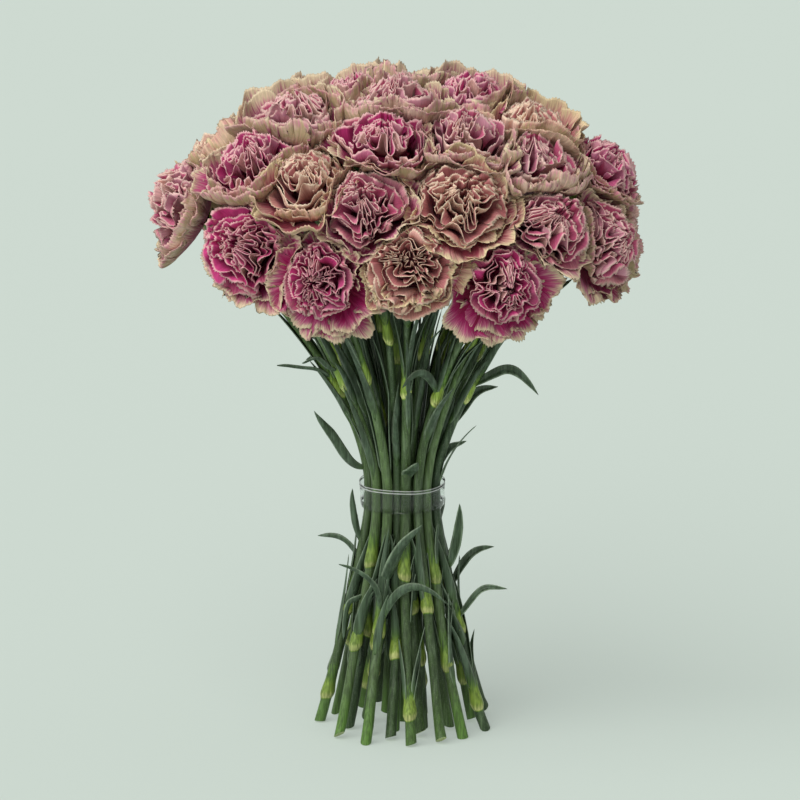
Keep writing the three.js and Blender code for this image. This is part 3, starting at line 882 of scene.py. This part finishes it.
def stem_tube(shape, flower, line):
    index = flower.index
    nodes = nodes_of(flower)
    inner = flower.tilt < OUTER_STEM_ANGLE
    lift = LIFTED_FOOT * chance(index, SEED["foot"]) if inner else 0
    marks = stations(line, nodes, lift)
    turn = around(STEM_SIDES)
    slant = (0.1 + 0.8 * chance(index, 44) ** 2) * np.cos(turn + TURN * chance(index, 45))
    points = []
    pale = []
    for n, s in enumerate(marks):
        along = UP if n == 0 else line.along(min(s, line.end - 1))
        swell, light = node_swell(s, nodes)
        radius = stem_radius(s, line, lift) + swell
        ribs = 1 + STEM_RIB * np.cos(2 * turn + 5 * chance(index, 41) + 0.012 * s)
        ring = ring_points(line.point(s), along, line.side, radius * ribs)
        if n == 0:
            ring[:, 2] += radius * (slant - slant.min())
        for node in [node for node in nodes if abs(s - node) < LIP_REACH][:1]:
            ring = ring + np.outer(node_lip(index, s, node, turn), along)
        points.append(ring)
        pale.append(light)
    faces = tube_faces(len(marks), STEM_SIDES)
    values = {"pale": np.repeat(pale, STEM_SIDES), "kind": 0.0}
    values["measure"] = np.repeat(np.array(marks), STEM_SIDES)
    shape.add(np.concatenate(points), faces, values)
    cut_end(shape, points[0])


def cut_end(shape, ring):
    """The cut end of a stem, a little hollowed."""
    centre = ring.mean(axis=0)
    cap = [centre + (ring - centre) * share + UP * height for share, height in CUT_END]
    faces = [face[::-1] for face in tube_faces(len(cap), STEM_SIDES)]
    shape.add(np.concatenate(cap), faces, {"pale": 0.0, "kind": 1.0, "measure": 0.0})


def clasping_leaf(shape, line, start, turn, draw, pale, end):
    """A narrow pointed leaf that lies up along its stem and bends away from it."""
    rows, columns = CLASP_GRID
    length = min(36 + 40 * draw[0], end - start - 4)
    if length < CLASP_SHORTEST:
        return
    away = 2.5 + 15 * draw[1] ** 2
    width = 2.2 + 2.4 * draw[2]
    grid = np.zeros((rows + 1, columns, 3))
    s = np.linspace(-1, 1, columns)
    for n in range(rows + 1):
        t = n / rows
        at = start + length * t
        along = line.along(at)
        flat, across = square_to(along, line.side)
        angle = turn + 2.2 * (draw[3] - 0.5) * t
        outward = flat * math.cos(angle) + across * math.sin(angle)
        side = np.cross(along, outward)
        opened = smooth(0, 0.2, t)
        wide = width * (0.3 + 0.7 * opened) * (1 - t**1.8) ** 0.9 + 0.08
        lie = stem_radius(at, line) - 0.1 + 0.8 * opened + away * t**1.7
        dip = 0.55 * wide * np.abs(s) ** 1.4 * (1 - 0.4 * t)
        sag = -0.25 * away * t**3 * along
        grid[n] = line.point(at) + sag + np.outer(lie - dip, outward) + np.outer(s * wide, side)
    t, s = cells(rows, columns)
    values = {"pale": pale * (1 - smooth(0, 0.4, t)), "kind": 3.0, "measure": np.abs(s)}
    sheet(shape, grid, CLASP_THICK, values)


def node_leaves(shape, flower, line):
    """The pairs of leaves at the nodes. Below the tie they end short of it, and some are gone."""
    index = flower.index
    for number, node in enumerate(nodes_of(flower)):
        high = node > WAIST["top"]
        for half in range(2):
            draw = draws(index * 11, 50 + 4 * number + half)
            if high or draw[4] <= 0.75:
                turn = TURN * chance(index, 46 + number) + half * math.pi
                end = line.end if high else WAIST["bottom"] - 2
                clasping_leaf(shape, line, node + 0.3 * NODE_ABOVE, turn, draw, 0.5, end)


def loose_leaves(shape, flower, line):
    """Leaves at places of their own, above the tie, below it and just below the bloom."""
    index = flower.index
    for number in range(LOOSE_ABOVE + LOOSE_BELOW):
        draw = draws(index * 13, 80 + number)
        draw[1] *= 0.8
        turn = TURN * (draw[0] + 0.5 * number)
        start, end = WAIST["top"] - 3 + 75 * draw[4], line.end
        if number >= LOOSE_ABOVE:
            start, end = 30 + 80 * draw[4], WAIST["bottom"] - 2
        clasping_leaf(shape, line, start, turn, draw, LOOSE_PALE, end)
    for number in range(NECK_LEAVES):
        draw = draws(index * 17, 60 + number)
        turn = TURN * (number / NECK_LEAVES + 0.2 * draw[4])
        draw = [1, 0.85 + 0.3 * draw[1], 0.5 + 0.6 * draw[2], draw[3]]
        clasping_leaf(shape, line, line.end - NECK_START, turn, draw, 0.35, line.end)


def calyx(shape, flower, line):
    """The green tube below the petals, with its teeth and the small scales round its foot."""
    index = flower.index
    axis = flower.calyx
    turn = around(CALYX_SIDES)
    tooth = np.abs((turn * CALYX_TEETH / TURN + chance(index, 42)) % 1 * 2 - 1)
    ribs = 1 + STEM_RIB * np.cos(2 * CALYX_TEETH * turn)
    points = []
    for share, radius in zip(CALYX_HEIGHTS, CALYX_RADII):
        ring = ring_points(np.zeros(3), axis, line.side, radius * ribs)
        height = share - CALYX_TOOTH * (1 - tooth) * smooth(0.8, 1.12, share)
        points.append(ring + (line.foot + np.outer(height * CALYX_LENGTH, axis)))
    # The rim turns in, so that the tube has a thickness.
    inward = line.foot + axis * CALYX_LENGTH
    points.append(points[-1] + (inward - points[-1]) * CALYX_RIM["inward"])
    points.append(points[-1] - axis * CALYX_RIM["down"])
    shares = CALYX_HEIGHTS + (CALYX_HEIGHTS[-1],) * 2
    values = {"pale": 0.6, "kind": 2.0, "measure": np.repeat(shares, CALYX_SIDES)}
    shape.add(np.concatenate(points), tube_faces(len(points), CALYX_SIDES), values)
    for k in range(SCALES):
        scale(shape, axis, line, k * TURN / SCALES + chance(index, 43) * TURN, 1 - 0.12 * (k % 2))


def scale(shape, axis, line, turn, size):
    """A small pointed scale that hugs the foot of the calyx."""
    t, s = cells(*SCALE_GRID)
    wide = 0.62 * np.sqrt(np.maximum(1 - t, 0)) + 0.03
    share = -0.03 + 0.4 * size * t
    radii = np.interp(share, CALYX_HEIGHTS, CALYX_RADII) + 0.35 + 0.5 * t**3
    angle = turn + s * wide
    flat, across = square_to(axis, line.side)
    away = turned(angle, flat, across)
    grid = line.foot + share[..., None] * CALYX_LENGTH * axis + radii[..., None] * away
    sheet(shape, grid, SCALE_THICK, {"pale": 0.5, "kind": 2.0, "measure": 0.3})


def leaf(shape, line, row):
    """A leaf: a long pointed blade, keeled along its middle and bent from its stem to its tip."""
    number, start, bend, tip, width, twist = row
    root = line.point(start)
    bend = np.array(bend, float)
    tip = np.array(tip, float)
    level = unit(np.cross(bend, tip))
    outward = np.array([root[0], root[1], 0])
    curl = 2 * chance(number, start) - 1.4
    rows, columns = LEAF_GRID
    flip = 1
    grid = np.zeros((rows + 1, columns, 3))
    share = np.linspace(0, 1, rows + 1)
    s = np.linspace(-1, 1, columns)
    for n, t in enumerate(share):
        centre = root + bend * 2 * t * (1 - t) + tip * t * t
        centre = centre + UP * LEAF_CURL * math.sin(TURN * t) * min(1, 2 * (1 - t)) * curl
        along = unit(bend * 2 * (1 - 2 * t) + tip * 2 * t)
        angle = (twist + LEAF_TWIST * t) * DEG
        side = unit(level * math.cos(angle) + np.cross(along, level) * math.sin(angle))
        if n == 0 and np.cross(along, side) @ outward < 0:
            flip = -1
        side = side * flip
        keel = np.cross(along, side)
        wide = width / 2 * np.interp(t, LEAF_SHARES, LEAF_WIDTHS)
        wave = LEAF_WAVE * math.sin(9 * t + width) * t
        depth = LEAF_KEEL * min(1, wide / 2) * (1 - np.abs(s) ** 1.3)
        grid[n] = centre + np.outer(s * wide, side) + np.outer(depth + wave * s, keel)
    t, s = cells(rows, columns)
    values = {"pale": 0.35 * (1 - smooth(0, 0.25, t)), "kind": 3.0, "measure": np.abs(s)}
    sheet(shape, grid, LEAF_THICK, values)


def stem(flower):
    shape = Shape()
    line = Line(flower)
    stem_tube(shape, flower, line)
    calyx(shape, flower, line)
    node_leaves(shape, flower, line)
    loose_leaves(shape, flower, line)
    for row in LEAVES:
        if row[0] == flower.number:
            leaf(shape, line, row)
    shape.note("POINT", {"tint": chance(flower.index, 48)}, shape.count)
    return shape


# ---- the tie ----

# The tape's section, from its inner face round its rolled upper edge: out in millimetres, and height
# as a share of its width. What lies higher and further out than these carries a painted highlight: it
# is whiter and less clear there.
TAPE = [(0.0, 0.0), (0.12, -0.01), (0.16, 0.3), (0.16, 0.83), (0.3, 0.85), (0.3, 0.88)]
TAPE += [(0.16, 0.9), (0.16, 0.95), (0.32, 0.97), (0.26, 1.0), (0.06, 0.99), (0.02, 0.5)]
TAPE_HIGHLIGHT = (0.2, 0.83)
TAPE_SIDES = 180


def tie():
    """A thin band of clear tape, drawn round the stems."""
    shape = Shape()
    turn = around(TAPE_SIDES)
    points = []
    for out, height in TAPE:
        wave = 0.2 * np.sin(5 * turn + 1) + 0.08 * np.sin(11 * turn + 4 * height)
        extra = STEM_TIE + SEAT_GAP + out + 0.8 * TIE["flare"] * height + wave
        x = (WAIST["width"] + extra) * np.cos(turn)
        y = (WAIST["depth"] + extra) * np.sin(turn)
        z = TIE["bottom"] + (TIE["top"] - TIE["bottom"]) * height + 0.3 * np.sin(3 * turn + height)
        points.append(np.stack([x, y, z], 1))
    points = np.concatenate(points)
    # The rows of the rolled edge that carry the painted highlight.
    painted_highlight = [float(out > TAPE_HIGHLIGHT[0] and height > TAPE_HIGHLIGHT[1]) for out, height in TAPE]
    # One ring more than there are, which is the first one again, closes the section.
    faces = np.array(tube_faces(len(TAPE) + 1, TAPE_SIDES)) % len(points)
    shape.add(points, faces, {"painted_highlight": np.repeat(painted_highlight, TAPE_SIDES)})
    return shape


# ---- materials ----


def colour(code):
    """A colour as red, green, blue and alpha in linear light, from its web code."""
    values = [int(code[n : n + 2], 16) / 255 for n in (0, 2, 4)]
    linear = [v / 12.92 if v <= 0.04045 else ((v + 0.055) / 1.055) ** 2.4 for v in values]
    return (*linear, 1.0)


class Graph:
    """A material's nodes, and short ways to add to them."""

    def __init__(self, name):
        self.material = bpy.data.materials.new(name)
        self.material.use_nodes = True
        self.tree = self.material.node_tree

    def plug(self, node, inputs):
        """Links or sets a node's inputs, by name or place; web codes stand for colours."""
        for key, value in inputs.items():
            if isinstance(value, bpy.types.NodeSocket):
                self.tree.links.new(value, node.inputs[key])
            else:
                node.inputs[key].default_value = colour(value) if isinstance(value, str) else value

    def node(self, kind, inputs, **settings):
        """A new node's outputs."""
        node = self.tree.nodes.new("ShaderNode" + kind)
        for name, setting in settings.items():
            setattr(node, name, setting)
        self.plug(node, inputs)
        return node.outputs

    def attribute(self, name, output="Fac"):
        return self.node("Attribute", {}, attribute_name=name)[output]

    def maths(self, operation, a, b, c=0.0):
        return self.node("Math", {0: a, 1: b, 2: c}, operation=operation)[0]

    def times(self, a, b):
        return self.maths("MULTIPLY", a, b)

    def plus(self, a, b, share):
        """One value plus a share of another."""
        return self.maths("ADD", a, self.times(b, share))

    def range(self, value, low, high, to_low=0.0, to_high=1.0):
        ends = {"From Min": low, "From Max": high, "To Min": to_low, "To Max": to_high}
        return self.node("MapRange", {"Value": value, **ends}, interpolation_type="SMOOTHSTEP")[0]

    def mix(self, share, a, b, blend="MIX"):
        return self.node("Mix", {0: share, 6: a, 7: b}, data_type="RGBA", blend_type=blend)[2]

    def layers(self, base, *rows):
        """Colours laid over a base, each with what it follows, from and to where, and its share."""
        for tint, value, low, high, share in rows:
            base = self.mix(self.range(value, low, high, 0, share), base, tint)
        return base

    def noise(self, place, scale, detail, rough=0.5):
        inputs = {"Vector": place, "Scale": scale, "Detail": detail, "Roughness": rough}
        return self.node("TexNoise", inputs)["Fac"]

    def streaks(self, place, scales, detail, rough=0.5):
        """Noise drawn out by its scales along the three axes."""
        drawn = self.node("Mapping", {"Vector": place, "Scale": scales})[0]
        return self.noise(drawn, 1.0, detail, rough)

    def bump(self, height, strength, distance):
        inputs = {"Strength": strength, "Distance": distance, "Height": height}
        return self.node("Bump", inputs)["Normal"]

    def shaded(self, tint, share):
        """A colour, darkened to a share of itself."""
        grey = self.node("CombineColor", {0: share, 1: share, 2: share})[0]
        return self.mix(1.0, tint, grey, "MULTIPLY")

    def place(self):
        return self.node("TexCoord", {})["Object"]

    def made(self, **inputs):
        """The material, once its shader's inputs are plugged."""
        named = {name.replace("_", " "): value for name, value in inputs.items()}
        self.plug(self.tree.nodes["Principled BSDF"], named)
        return self.material


# The colours of the petals by tone: deep, face, vivid, edge, rim, rear, mauve, beige, olive, blush.
PETAL_COLOURS = {
    "magenta": "8e0f3c c83c7e b01c66 f8cbc6 e6d0b0 d684a4 963254 e0bea8 b9a47c d08498",
    "rose": "921f44 ca6084 a83868 f6d2c6 e6d2b0 dc9aac 9c405e e4c4b0 bba782 d2909e",
    "tan": "9c4050 cc8082 b04c60 fae2c6 e8d2a8 ecc2b0 9c504e eccdb0 c0ae84 d8a098",
}


def petal_colour(graph, tints, along, grain, veins, inner):
    """The inner face: deep colour that runs out in streaks, on a guard to a pale rim. The outer
    face: mauve to pink, and on a guard beige and olive, with veins."""
    deep, face, vivid, edge, rim, rear, mauve, beige, olive, blush = tints
    draw = graph.attribute("draw")
    cloud = graph.streaks(grain, (0.16, 0.12, 1), 2)
    cloudy = graph.plus(along, cloud, 0.3)
    drawn = graph.plus(cloud, draw, 0.3)
    streaky = graph.plus(along, graph.streaks(grain, (1.1, 0.07, 1), 4, 0.6), 0.8)
    layers = graph.layers
    vivid = (vivid, cloudy, 0.35, 0.8, 1)
    guard = layers(deep, vivid, (rear, streaky, 0.9, 1.2, 0.55), (rim, streaky, 1.12, 1.36, 1))
    head = layers(deep, (face, cloudy, 0.45, 1.0, 1), (rear, draw, 0.35, 0.1, 0.45))
    front = graph.mix(inner, guard, head)
    guard = layers(beige, (olive, drawn, 0.5, 0.8, 1), (mauve, streaky, 1.15, 0.7, 1))
    guard = layers(guard, (blush, streaky, 1.24, 1.44, 1), (face, veins, 0.56, 0.68, 0.3))
    head = layers(mauve, (rear, cloudy, 0.7, 1.1, 1), (beige, draw, 0.5, 0.9, 0.7))
    full = graph.mix(graph.attribute("back"), front, graph.mix(inner, guard, head))
    line = graph.times(graph.range(along, 0.92, 0.998), graph.range(inner, 0, 1, 0.35, 0.9))
    return graph.mix(line, full, graph.mix(inner, rim, edge))


def petal_material(tone):
    """Two faces of streaked colour with a pale toothed edge, darkened and roughened by veins."""
    graph = Graph("petal_" + tone)
    along = graph.attribute("along")
    grain = graph.attribute("grain", "Vector")
    inner = graph.range(graph.attribute("inner"), 0.14, 0.3)
    veins = graph.streaks(grain, (2.2, 0.05, 1), 3, 0.65)
    full = petal_colour(graph, PETAL_COLOURS[tone].split(), along, grain, veins, inner)
    height = graph.plus(veins, graph.streaks(grain, (0.5, 0.02, 1), 2), 2.0)
    return graph.made(
        Base_Color=graph.shaded(full, graph.range(veins, 0.35, 0.75, 0.74, 1.06)),
        Roughness=graph.range(veins, 0.2, 0.8, 0.52, 0.74),
        Sheen_Weight=0.06,
        Specular_IOR_Level=0.2,
        Normal=graph.bump(height, 0.5, 0.0005),
    )


def bark(graph, place, cloud, bloomy, tint, measure):
    """The stem's skin: dark green with a waxy bloom, and a fresh green foot on some stems."""
    base = graph.layers(
        graph.mix(cloud, "26381d", "40562b"),
        ("587040", tint, 0.45, 1, 0.6),
        ("24372a", tint, 0.5, 0, 0.6),
        ("6c7f60", bloomy, 0.48, 0.72, 0.45),
        ("7a8c6e", graph.noise(place, 1500, 2), 0.5, 0.72, 0.35),
    )
    fresh = graph.times(graph.range(measure, 44, 4), graph.range(tint, 0.3, 0.9, 0.1, 0.8))
    return graph.mix(fresh, base, "5a8230")


def stem_material():
    """Waxy grey-green stems, yellow-green sheaths at the nodes, fresh green calyces, grey-green
    leaves that are light at their foot and carry a painted highlight along their edges, and pale cut
    ends. Painted shade darkens all of it a little, and painted light lightens the stems above the
    tie."""
    graph = Graph("stem_green")
    place = graph.place()
    pale, kind, measure, tint = map(graph.attribute, ("pale", "kind", "measure", "tint"))
    cloud = graph.noise(place, 60, 3)
    fibres = graph.streaks(place, (900, 900, 45), 3)
    bloomy = graph.streaks(place, (240, 240, 25), 2)
    uneven = graph.plus(graph.plus(pale, fibres, 0.5), cloud, 0.3)
    light = graph.layers(
        "4f7228",
        ("7f973a", uneven, 0.6, 1.0, 1),
        ("bcc07a", uneven, 1.15, 1.45, 1),
        ("5d7a34", tint, 0.3, 0.9, 0.4),
    )
    leafy = graph.layers(
        graph.mix(cloud, "2a3c25", "4a6045"),
        ("6b806a", bloomy, 0.4, 0.7, 0.5),
        (light, pale, 0, 0.5, 1),
        # A painted highlight along both edges of each leaf.
        ("8fa287", measure, 0.6, 1, 0.75),
    )
    fresh = graph.layers("4f7a2e", ("86a548", measure, 0, 1.1, 1))
    cut = graph.mix(fibres, "8fa65c", "cdd49a")
    base = bark(graph, place, cloud, bloomy, tint, measure)
    base = graph.layers(base, (light, uneven, 0.46, 0.75, 1))
    for number, skin in ((2.0, fresh), (3.0, leafy), (1.0, cut)):
        base = graph.mix(graph.maths("COMPARE", kind, number, 0.4), base, skin)
    dark = graph.range(fibres, 0.3, 0.7, 0.62, 1.22)
    return graph.made(
        # Painted shade and light: below a measure of 120 the stems are darkened to 0.9, and so are
        # the leaves, calyces and cut ends, while the stems above the tie, where the blooms shade
        # them, are lightened up to 1.36.
        Base_Color=graph.shaded(base, graph.times(dark, graph.range(measure, 120, 230, 0.9, 1.36))),
        Roughness=graph.range(cloud, 0.3, 0.7, 0.36, 0.55),
        Specular_IOR_Level=0.4,
        Normal=graph.bump(fibres, 0.35, 0.0004),
    )


def tie_material():
    """Clear tape, faintly wrinkled, with a painted highlight along its rolled edge, where it is
    whiter and less clear.
    """
    graph = Graph("clear_tape")
    wrinkles = graph.streaks(graph.place(), (60, 60, 260), 3)
    return graph.made(
        Base_Color=graph.mix(wrinkles, "f2f8f4", "ffffff"),
        Roughness=graph.range(wrinkles, 0.3, 0.7, 0.02, 0.08),
        # A painted highlight: the edge rows let less light through and show the white base colour.
        Transmission_Weight=graph.range(graph.attribute("painted_highlight"), 0.1, 0.9, 0.99, 0.6),
        IOR=1.2,
        Normal=graph.bump(wrinkles, 0.15, 0.0004),
    )


def floor_material():
    graph = Graph("floor")
    cloud = graph.noise(graph.place(), 1.5, 2)
    return graph.made(
        Base_Color=graph.mix(cloud, "949e97", "96a099"),
        Roughness=graph.range(cloud, 0.3, 0.7, 0.85, 0.95),
        Emission_Color="ccd7cf",
        Emission_Strength=0.45,
    )


# ---- the scene ----


def stage():
    cells = FLOOR["cells"]
    line = np.linspace(-FLOOR["half"], FLOOR["half"], cells + 1)
    points = [(x, y, FLOOR["height"]) for y in line for x in line]
    starts = [row * (cells + 1) + column for row in range(cells) for column in range(cells)]
    mesh = bpy.data.meshes.new("floor")
    mesh.from_pydata(points, [], [(a, a + 1, a + cells + 2, a + cells + 1) for a in starts])
    mesh.materials.append(floor_material())
    floor = linked("floor", mesh)


def aimed(thing, place, target):
    thing.location = place
    x, y, z = np.array(target) - np.array(place)
    thing.rotation_euler = (math.atan2(math.hypot(x, y), -z), 0, math.atan2(-x, y))


def camera():
    data = bpy.data.cameras.new("camera")
    data.sensor_width = SENSOR
    data.lens = CAMERA["away"] / CAMERA["point"] / PICTURE * SENSOR
    data.clip_end = 50
    made = linked("camera", data)
    aim = np.array([-CAMERA["off"] * CAMERA["point"], 0, CAMERA["aim"]]) + SHIFT
    tilt = CAMERA["tilt"] * DEG
    place = aim + CAMERA["away"] * np.array([0, -math.cos(tilt), math.sin(tilt)])
    aimed(made, place * MM, aim * MM)
    bpy.context.scene.camera = made


def light():
    """Soft light from all round, and a broad soft lamp to the viewer's left."""
    world = bpy.data.worlds.new("studio")
    bpy.context.scene.world = world
    world.use_nodes = True
    back = world.node_tree.nodes["Background"]
    back.inputs["Color"].default_value = (0.98, 1.0, 0.99, 1)
    back.inputs["Strength"].default_value = 0.47
    key = bpy.data.lights.new("key", "SUN")
    key.angle = 68 * DEG
    key.energy = 2.68
    key.color = (1, 0.995, 0.98)
    aimed(linked("key", key), (-0.6, -0.64, 0.92), (0, 0, 0))


def dress(shape, name, node, material):
    made = shape.made(name, material)
    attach(made, "root")
    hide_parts(node)


def build():
    bpy.context.scene.view_settings.view_transform = "Standard"
    petals = {tone: petal_material(tone) for tone in PETAL_COLOURS}
    green = stem_material()
    for flower in flowers:
        number = f"{flower.number:02d}"
        tone = flower.tone
        dress(bloom(flower), "carnation_" + number, "bloom_" + number, petals[tone])
        dress(stem(flower), "leafy_stem_" + number, "stem_" + number, green)
    dress(tie(), "tape", "tie", tie_material())
    stage()
    camera()
    light()


build()
